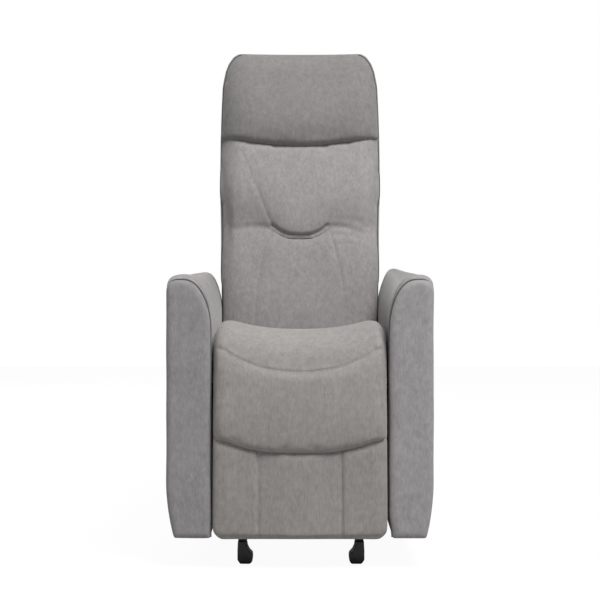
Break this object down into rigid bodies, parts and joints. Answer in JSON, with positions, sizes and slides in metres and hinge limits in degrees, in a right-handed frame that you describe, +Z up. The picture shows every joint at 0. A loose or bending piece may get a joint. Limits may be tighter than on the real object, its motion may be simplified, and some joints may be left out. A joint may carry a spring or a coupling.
{
  "type": "rocker recliner",
  "caption": "Narrow upholstered rocker recliner with a tall back, padded arms, a shaped head pillow and a swing-out legrest on parallel links.",
  "frame": {"origin": "centre of the bounding box, on the floor", "axes": "+Z up, the front of the chair towards -Y, +X to the right of someone looking at its front"},
  "size_m": [0.575, 0.79, 1.165],
  "materials": {
    "upholstery": "brushed, warm grey",
    "panel_fabric": "brushed, warm grey, a shade darker",
    "timber": "sawn and unvarnished",
    "black_steel": "satin black powder coat",
    "bright_steel": "zinc plated",
    "spring_wire": "oil tempered",
    "black_plastic": "fine grain"
  },
  "bodies": {
    "base": {"base_rail_left": "black_steel", "base_rail_right": "black_steel", "base_cross_tubes": "black_steel", "floor_glides": "black_plastic", "coil_seats_lower": "black_steel", "rocker_springs": "spring_wire"},
    "chassis": {"rocker_cam_left": "timber", "rocker_cam_right": "timber", "cam_bolts": "bright_steel", "coil_seats_upper": "black_steel", "mechanism_plate_left": "black_steel", "mechanism_plate_right": "black_steel", "plate_rivets": "bright_steel", "seat_front_rail": "timber", "seat_rear_rail": "timber", "seat_side_rail_left": "timber", "seat_side_rail_right": "timber", "seat_springs": "spring_wire", "seat_cushion": "upholstery", "arm_frame_left": "timber", "arm_frame_right": "timber", "arm_left": "upholstery", "arm_right": "upholstery", "arm_front_panel_left": "panel_fabric", "arm_front_panel_right": "panel_fabric", "arm_bolts": "bright_steel", "rear_panel": "upholstery", "release_cup": "black_plastic"},
    "release": {"release_paddle": "black_plastic"},
    "drive_links": {"drive_link_left": "black_steel", "drive_link_right": "black_steel", "torque_tube": "black_steel", "knee_rivets": "bright_steel"},
    "extension_links": {"extension_link_left": "black_steel", "extension_link_right": "black_steel", "control_rivets": "bright_steel"},
    "control_links": {"control_link_left": "black_steel", "control_link_right": "black_steel"},
    "flap": {"flap_board": "timber", "flap_pad": "panel_fabric", "flap_hinges": "bright_steel"},
    "footrest": {"footrest_board": "timber", "footrest_pad": "panel_fabric", "footrest_brackets": "black_steel", "footrest_hinges": "bright_steel", "footrest_rivets": "bright_steel"},
    "backrest": {"back_frame": "timber", "back_springs": "spring_wire", "back_brackets": "black_steel", "back_cushion": "upholstery", "head_pillow": "upholstery", "back_shell": "upholstery"}
  },
  "joints": [
    {"name": "rock", "type": "hinge", "parent": "base", "child": "chassis", "pos_m": [0, 0.024, 0.1], "axis": [-1, 0, 0], "range_deg": [-6, 7], "stiffness_Nm_per_rad": 500, "deforming": ["rocker_springs"]},
    {"name": "recline", "type": "hinge", "parent": "chassis", "child": "backrest", "pos_m": [0, 0.19368, 0.33], "axis": [-1, 0, 0], "range_deg": [0, 32]},
    {"name": "legrest", "type": "hinge", "parent": "chassis", "child": "flap", "pos_m": [0, -0.386, 0.48], "axis": [-1, 0, 0], "range_deg": [0, 78]},
    {"name": "footrest_tilt", "type": "hinge", "parent": "flap", "child": "footrest", "pos_m": [0, -0.3465, 0.258], "axis": [-1, 0, 0], "range_deg": [0, 12.1]},
    {"name": "drive", "type": "hinge", "parent": "chassis", "child": "drive_links", "pos_m": [0, -0.17044, 0.36057], "axis": [-1, 0, 0], "range_deg": [0, 78.5]},
    {"name": "extension", "type": "hinge", "parent": "drive_links", "child": "extension_links", "pos_m": [0, -0.119, 0.136], "axis": [-1, 0, 0], "range_deg": [-78.5, 0]},
    {"name": "control", "type": "hinge", "parent": "chassis", "child": "control_links", "pos_m": [0, -0.22244, 0.37856], "axis": [-1, 0, 0], "range_deg": [0, 78.5]},
    {"name": "release_pull", "type": "hinge", "parent": "chassis", "child": "release", "pos_m": [-0.2829, -0.12, 0.4549], "axis": [0, 1, 0], "range_deg": [0, 30], "stiffness_Nm_per_rad": 0.3, "springref_deg": -5.73}
  ],
  "couplings": [
    {"joint": "footrest_tilt", "follows": "legrest", "ratio": 0.15385},
    {"joint": "drive", "follows": "legrest", "ratio": 1.004},
    {"joint": "extension", "follows": "legrest", "ratio": -1.004},
    {"joint": "control", "follows": "legrest", "ratio": 1.004}
  ]
}
